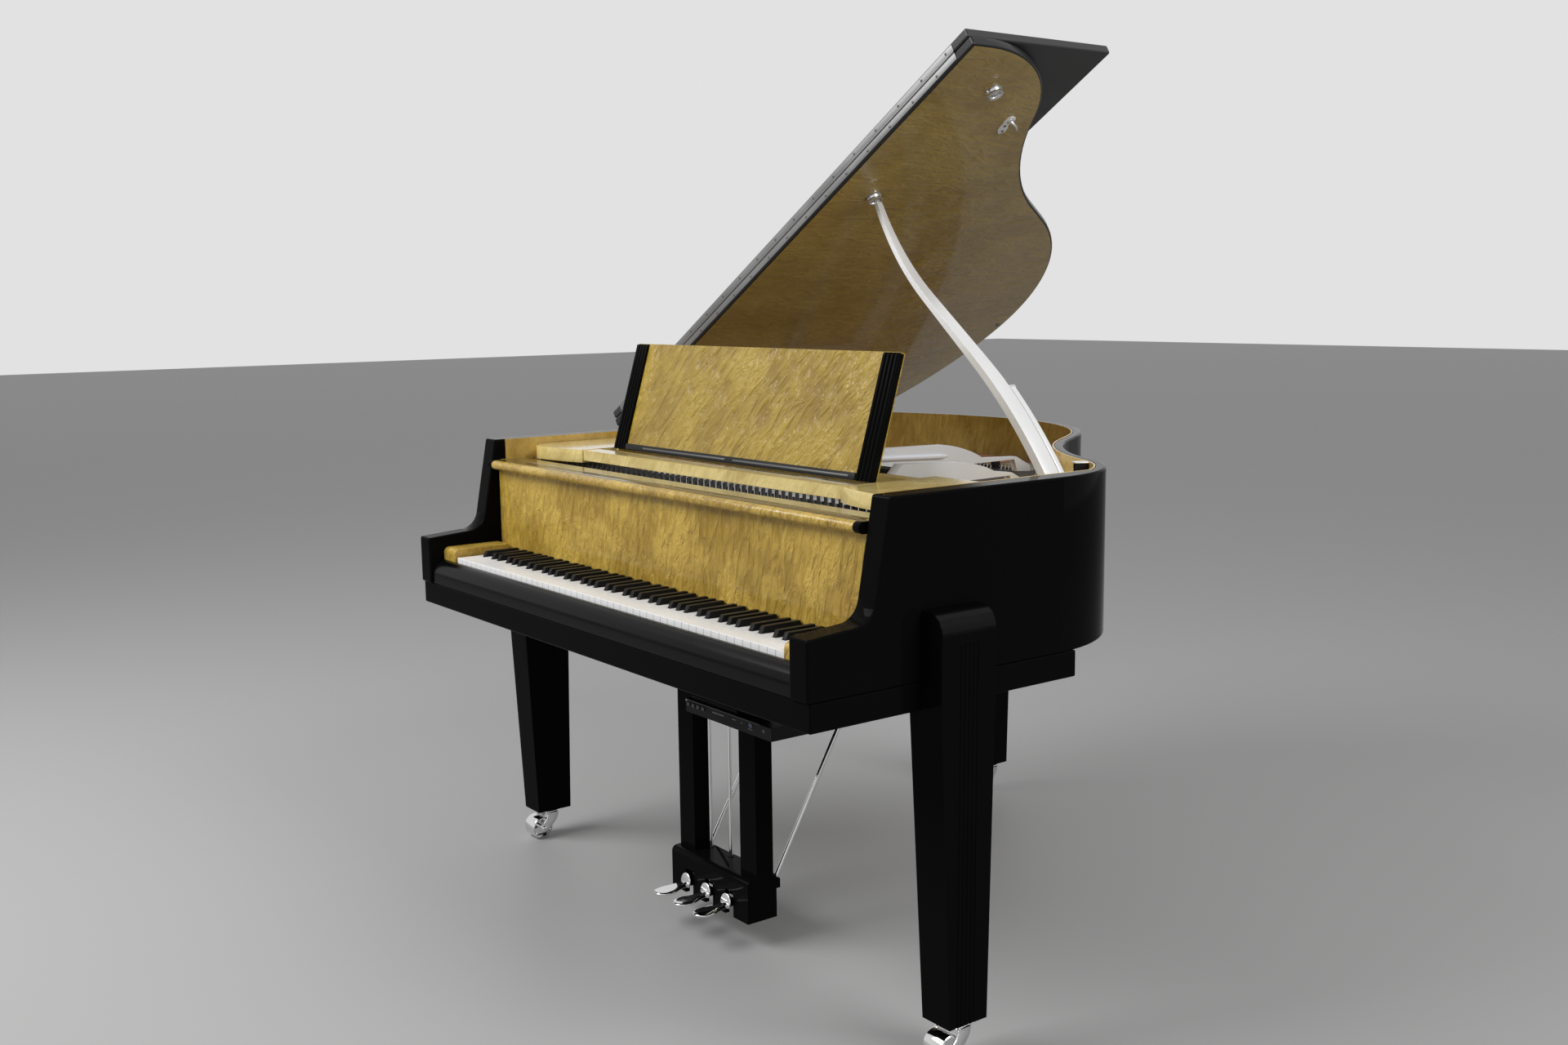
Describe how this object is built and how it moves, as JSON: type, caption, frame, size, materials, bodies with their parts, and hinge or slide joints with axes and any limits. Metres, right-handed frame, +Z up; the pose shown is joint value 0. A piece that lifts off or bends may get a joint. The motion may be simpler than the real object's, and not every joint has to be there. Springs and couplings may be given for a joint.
{
  "type": "grand piano",
  "caption": "Grand piano with square tapered legs on casters, propped lid with folded front flap, golden veneer fallboard, sliding music desk, keys, hammers and pedal lyre.",
  "frame": {"origin": "on the floor under the centre of the whole piano's box, lid raised", "axes": "+X towards the treble side, +Y from the player to the tail, +Z up"},
  "size_m": [1.545, 1.4744, 1.7793],
  "materials": {
    "black_lacquer": "high gloss black lacquer",
    "golden_veneer": "gloss figured golden veneer",
    "silver_plate": "satin silver paint",
    "spruce": "satin spruce",
    "hardwood": "satin beech",
    "bright_steel": "bright steel",
    "satin_silver": "satin silver",
    "chrome": "polished chrome",
    "matte_black": "matte black",
    "button_grey": "matte grey",
    "damper_felt": "black blocks on felt",
    "key_white": "gloss white",
    "key_black": "satin black",
    "hammer_felt": "felt"
  },
  "bodies": {
    "case": {"rim_shell": "black_lacquer", "rim_lining": "golden_veneer", "keybed": "black_lacquer", "key_slip": "black_lacquer", "key_blocks": "golden_veneer", "stretcher": "golden_veneer", "pin_block": "hardwood", "soundboard": "spruce", "bridges": "hardwood", "iron_plate": "silver_plate", "tuning_pins": "bright_steel", "strings": "bright_steel", "bracing_beams": "hardwood", "left_leg": "black_lacquer", "right_leg": "black_lacquer", "rear_leg": "black_lacquer", "lyre": "black_lacquer", "lyre_braces": "chrome", "control_box": "matte_black", "rim_hardware": "bright_steel", "desk_rails": "hardwood"},
    "action": {"key_frame": "hardwood", "action_frame": "hardwood"},
    "damper_row": {"dampers": "damper_felt"},
    "white_bass": {"white_keys_bass": "key_white"},
    "white_bass_hammers": {"white_hammers_bass": "hammer_felt"},
    "black_bass": {"black_keys_bass": "key_black"},
    "black_bass_hammers": {"black_hammers_bass": "hammer_felt"},
    "white_middle": {"white_keys_middle": "key_white"},
    "white_middle_hammers": {"white_hammers_middle": "hammer_felt"},
    "black_middle": {"black_keys_middle": "key_black"},
    "black_middle_hammers": {"black_hammers_middle": "hammer_felt"},
    "white_treble": {"white_keys_treble": "key_white"},
    "white_treble_hammers": {"white_hammers_treble": "hammer_felt"},
    "black_treble": {"black_keys_treble": "key_black"},
    "black_treble_hammers": {"black_hammers_treble": "hammer_felt"},
    "lid": {"main_lid": "black_lacquer", "lid_fittings": "bright_steel"},
    "fly": {"fly_lid": "black_lacquer", "fly_hinge": "bright_steel"},
    "prop": {"lid_prop": "satin_silver"},
    "second_prop": {"short_prop": "satin_silver"},
    "fall": {"fallboard": "golden_veneer"},
    "tray": {"desk_tray": "golden_veneer"},
    "desk": {"desk_panel": "golden_veneer", "desk_fluting": "black_lacquer"},
    "strut": {"desk_strut": "bright_steel"},
    "buttons": {"control_buttons": "button_grey"},
    "left_foot_pedal": {"left_pedal": "chrome"},
    "left_rod": {"left_pedal_rod": "chrome"},
    "middle_foot_pedal": {"middle_pedal": "chrome"},
    "middle_rod": {"middle_pedal_rod": "chrome"},
    "right_foot_pedal": {"right_pedal": "chrome"},
    "right_rod": {"right_pedal_rod": "chrome"},
    "left_fork": {"left_caster_fork": "chrome"},
    "left_wheel": {"left_caster_wheel": "chrome"},
    "right_fork": {"right_caster_fork": "chrome"},
    "right_wheel": {"right_caster_wheel": "chrome"},
    "rear_fork": {"rear_caster_fork": "chrome"},
    "rear_wheel": {"rear_caster_wheel": "chrome"}
  },
  "joints": [
    {"name": "lid_hinge", "type": "hinge", "parent": "case", "child": "lid", "pos_m": [-0.7364, 0.2012, 0.9935], "axis": [0, -1, 0], "range_deg": [0, 20]},
    {"name": "fly_hinge", "type": "hinge", "parent": "lid", "child": "fly", "pos_m": [-0.11401, -0.2048, 1.38763], "axis": [0.8594, 0, 0.5113], "range_deg": [0, 150]},
    {"name": "prop_hinge", "type": "hinge", "parent": "case", "child": "prop", "pos_m": [0.63, -0.0988, 0.973], "axis": [1, 0, 0], "range_deg": [-90, 0]},
    {"name": "short_prop_hinge", "type": "hinge", "parent": "prop", "child": "second_prop", "pos_m": [0.60633, -0.0688, 1], "axis": [0, 1, 0], "range_deg": [0, 35]},
    {"name": "fallboard_hinge", "type": "hinge", "parent": "case", "child": "fall", "pos_m": [0, -0.5508, 0.765], "axis": [1, 0, 0], "range_deg": [0, 90]},
    {"name": "tray_slide", "type": "slide", "parent": "case", "child": "tray", "axis": [0, 1, 0], "range_m": [-0.03, 0.03]},
    {"name": "desk_tilt", "type": "hinge", "parent": "tray", "child": "desk", "pos_m": [0, -0.3638, 0.97], "axis": [1, 0, 0], "range_deg": [-64, 10]},
    {"name": "strut_hinge", "type": "hinge", "parent": "desk", "child": "strut", "pos_m": [0, -0.33171, 1.04912], "axis": [1, 0, 0], "range_deg": [-50, 8]},
    {"name": "action_shift", "type": "slide", "parent": "case", "child": "action", "axis": [1, 0, 0], "range_m": [0, 0.003]},
    {"name": "white_bass_press", "type": "hinge", "parent": "action", "child": "white_bass", "pos_m": [0, -0.4638, 0.705], "axis": [1, 0, 0], "range_deg": [0, 2.4], "stiffness_Nm_per_rad": 14, "springref_deg": -4.58},
    {"name": "white_bass_hammer_swing", "type": "hinge", "parent": "action", "child": "white_bass_hammers", "pos_m": [0, -0.3138, 0.826], "axis": [1, 0, 0], "range_deg": [0, 20.02]},
    {"name": "black_bass_press", "type": "hinge", "parent": "action", "child": "black_bass", "pos_m": [0, -0.4638, 0.705], "axis": [1, 0, 0], "range_deg": [0, 2.4], "stiffness_Nm_per_rad": 14, "springref_deg": -4.58},
    {"name": "black_bass_hammer_swing", "type": "hinge", "parent": "action", "child": "black_bass_hammers", "pos_m": [0, -0.3138, 0.826], "axis": [1, 0, 0], "range_deg": [0, 20.02]},
    {"name": "white_middle_press", "type": "hinge", "parent": "action", "child": "white_middle", "pos_m": [0, -0.4638, 0.705], "axis": [1, 0, 0], "range_deg": [0, 2.4], "stiffness_Nm_per_rad": 14, "springref_deg": -4.58},
    {"name": "white_middle_hammer_swing", "type": "hinge", "parent": "action", "child": "white_middle_hammers", "pos_m": [0, -0.3138, 0.826], "axis": [1, 0, 0], "range_deg": [0, 20.02]},
    {"name": "black_middle_press", "type": "hinge", "parent": "action", "child": "black_middle", "pos_m": [0, -0.4638, 0.705], "axis": [1, 0, 0], "range_deg": [0, 2.4], "stiffness_Nm_per_rad": 14, "springref_deg": -4.58},
    {"name": "black_middle_hammer_swing", "type": "hinge", "parent": "action", "child": "black_middle_hammers", "pos_m": [0, -0.3138, 0.826], "axis": [1, 0, 0], "range_deg": [0, 20.02]},
    {"name": "white_treble_press", "type": "hinge", "parent": "action", "child": "white_treble", "pos_m": [0, -0.4638, 0.705], "axis": [1, 0, 0], "range_deg": [0, 2.4], "stiffness_Nm_per_rad": 14, "springref_deg": -4.58},
    {"name": "white_treble_hammer_swing", "type": "hinge", "parent": "action", "child": "white_treble_hammers", "pos_m": [0, -0.3138, 0.826], "axis": [1, 0, 0], "range_deg": [0, 20.02]},
    {"name": "black_treble_press", "type": "hinge", "parent": "action", "child": "black_treble", "pos_m": [0, -0.4638, 0.705], "axis": [1, 0, 0], "range_deg": [0, 2.4], "stiffness_Nm_per_rad": 14, "springref_deg": -4.58},
    {"name": "black_treble_hammer_swing", "type": "hinge", "parent": "action", "child": "black_treble_hammers", "pos_m": [0, -0.3138, 0.826], "axis": [1, 0, 0], "range_deg": [0, 20.02]},
    {"name": "damper_lift", "type": "slide", "parent": "case", "child": "damper_row", "axis": [0, 0, 1], "range_m": [0, 0.005]},
    {"name": "left_pedal_press", "type": "hinge", "parent": "case", "child": "left_foot_pedal", "pos_m": [-0.074, -0.4288, 0.075], "axis": [1, 0, 0], "range_deg": [0, 7], "stiffness_Nm_per_rad": 6, "springref_deg": -14.32},
    {"name": "left_rod_lift", "type": "slide", "parent": "case", "child": "left_rod", "axis": [0, 0, 1], "range_m": [0, 0.005]},
    {"name": "middle_pedal_press", "type": "hinge", "parent": "case", "child": "middle_foot_pedal", "pos_m": [0, -0.4288, 0.075], "axis": [1, 0, 0], "range_deg": [0, 7], "stiffness_Nm_per_rad": 6, "springref_deg": -14.32},
    {"name": "middle_rod_lift", "type": "slide", "parent": "case", "child": "middle_rod", "axis": [0, 0, 1], "range_m": [0, 0.005]},
    {"name": "right_pedal_press", "type": "hinge", "parent": "case", "child": "right_foot_pedal", "pos_m": [0.074, -0.4288, 0.075], "axis": [1, 0, 0], "range_deg": [0, 7], "stiffness_Nm_per_rad": 6, "springref_deg": -14.32},
    {"name": "right_rod_lift", "type": "slide", "parent": "case", "child": "right_rod", "axis": [0, 0, 1], "range_m": [0, 0.005]},
    {"name": "left_caster_swivel", "type": "hinge", "parent": "case", "child": "left_fork", "pos_m": [-0.7305, -0.4298, 0.066], "axis": [0, 0, 1], "continuous": true},
    {"name": "left_wheel_roll", "type": "hinge", "parent": "left_fork", "child": "left_wheel", "pos_m": [-0.7305, -0.4578, 0.027], "axis": [1, 0, 0], "continuous": true},
    {"name": "right_caster_swivel", "type": "hinge", "parent": "case", "child": "right_fork", "pos_m": [0.7305, -0.4298, 0.066], "axis": [0, 0, 1], "continuous": true},
    {"name": "right_wheel_roll", "type": "hinge", "parent": "right_fork", "child": "right_wheel", "pos_m": [0.7305, -0.4578, 0.027], "axis": [1, 0, 0], "continuous": true},
    {"name": "rear_caster_swivel", "type": "hinge", "parent": "case", "child": "rear_fork", "pos_m": [-0.3175, 0.6657, 0.066], "axis": [0, 0, 1], "continuous": true},
    {"name": "rear_wheel_roll", "type": "hinge", "parent": "rear_fork", "child": "rear_wheel", "pos_m": [-0.3175, 0.6377, 0.027], "axis": [1, 0, 0], "continuous": true},
    {"name": "button_press", "type": "slide", "parent": "case", "child": "buttons", "axis": [0, 1, 0], "range_m": [0, 0.0015], "stiffness_N_per_m": 400, "springref_m": -0.002}
  ],
  "couplings": [
    {"joint": "strut_hinge", "follows": "desk_tilt", "ratio": 0.78},
    {"joint": "action_shift", "follows": "left_pedal_press", "m_per_rad": 0.02415},
    {"joint": "damper_lift", "follows": "right_pedal_press", "m_per_rad": 0.04},
    {"joint": "left_rod_lift", "follows": "left_pedal_press", "m_per_rad": 0.04},
    {"joint": "middle_rod_lift", "follows": "middle_pedal_press", "m_per_rad": 0.04},
    {"joint": "right_rod_lift", "follows": "right_pedal_press", "m_per_rad": 0.04},
    {"joint": "white_bass_hammer_swing", "follows": "white_bass_press", "ratio": 8.3},
    {"joint": "black_bass_hammer_swing", "follows": "black_bass_press", "ratio": 8.3},
    {"joint": "white_middle_hammer_swing", "follows": "white_middle_press", "ratio": 8.3},
    {"joint": "black_middle_hammer_swing", "follows": "black_middle_press", "ratio": 8.3},
    {"joint": "white_treble_hammer_swing", "follows": "white_treble_press", "ratio": 8.3},
    {"joint": "black_treble_hammer_swing", "follows": "black_treble_press", "ratio": 8.3}
  ]
}
